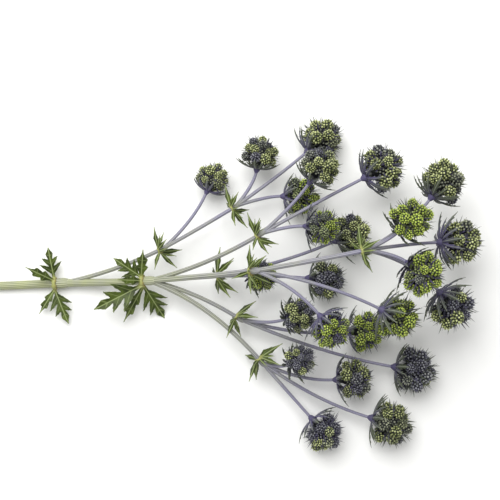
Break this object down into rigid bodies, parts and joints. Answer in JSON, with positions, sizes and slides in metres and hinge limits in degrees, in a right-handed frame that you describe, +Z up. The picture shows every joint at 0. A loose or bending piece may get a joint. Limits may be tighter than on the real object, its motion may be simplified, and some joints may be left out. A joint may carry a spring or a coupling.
{
  "type": "sea holly stem",
  "caption": "Cut sea holly stem lying down: a ribbed stem that forks into violet branches, with whorls of toothed leaves, spiny bracts and heads of floret globes.",
  "frame": {"origin": "on the flat rest spot under the stem, 10 mm from its cut end, at the surface it lies on", "axes": "+X along the stem from the cut end towards the flower heads, +Y across the spray, +Z up from the surface"},
  "size_m": [0.6467, 0.3349, 0.1284],
  "materials": {
    "stem_skin": "matt ribbed plant skin, cream-green turning violet on the branches",
    "whorl_leaf": "matt to satin leaf with pale midribs",
    "spiny_bract": "matt grey-green to violet bract",
    "ripe_floret": "matt, pale green florets over violet-grey",
    "young_floret": "matt, bright yellow-green florets",
    "violet_floret": "matt dark violet florets"
  },
  "bodies": {
    "root": {"stem": "stem_skin", "leaves_first": "whorl_leaf", "leaves_second": "whorl_leaf", "leaves_a1": "whorl_leaf", "leaves_a2": "whorl_leaf", "leaves_b1": "whorl_leaf", "leaves_c1": "whorl_leaf", "leaves_d1": "whorl_leaf", "leaves_e1": "whorl_leaf", "leaves_f1": "whorl_leaf", "leaves_f2": "whorl_leaf", "head_a1_side": "ripe_floret", "bracts_a1_side": "spiny_bract", "head_a2_upper": "ripe_floret", "bracts_a2_upper": "spiny_bract", "head_a2_tip": "ripe_floret", "bracts_a2_tip": "spiny_bract", "head_a2_lower": "young_floret", "bracts_a2_lower": "spiny_bract", "head_b1_upper": "ripe_floret", "bracts_b1_upper": "spiny_bract", "head_b1_tip": "ripe_floret", "bracts_b1_tip": "spiny_bract", "head_b1_lower": "young_floret", "bracts_b1_lower": "spiny_bract", "head_c1_side": "young_floret", "bracts_c1_side": "spiny_bract", "head_c1_tip": "violet_floret", "bracts_c1_tip": "spiny_bract", "head_c1_upper": "ripe_floret", "bracts_c1_upper": "spiny_bract", "head_d1_side": "ripe_floret", "bracts_d1_side": "spiny_bract", "head_d1_upper": "young_floret", "bracts_d1_upper": "spiny_bract", "head_d1_tip": "violet_floret", "bracts_d1_tip": "spiny_bract", "head_e1_side": "violet_floret", "bracts_e1_side": "spiny_bract", "head_e1_upper": "ripe_floret", "bracts_e1_upper": "spiny_bract", "head_e1_tip": "ripe_floret", "bracts_e1_tip": "spiny_bract", "head_e1_lower": "violet_floret", "bracts_e1_lower": "spiny_bract", "head_f1_lower": "young_floret", "bracts_f1_lower": "spiny_bract", "head_f1_tip": "young_floret", "bracts_f1_tip": "spiny_bract", "head_f2_left": "young_floret", "bracts_f2_left": "spiny_bract", "head_f2_upper": "ripe_floret", "bracts_f2_upper": "spiny_bract", "head_f2_tip": "ripe_floret", "bracts_f2_tip": "spiny_bract", "head_f2_right": "young_floret", "bracts_f2_right": "spiny_bract", "head_f2_lower": "violet_floret", "bracts_f2_lower": "spiny_bract"}
  },
  "joints": []
}
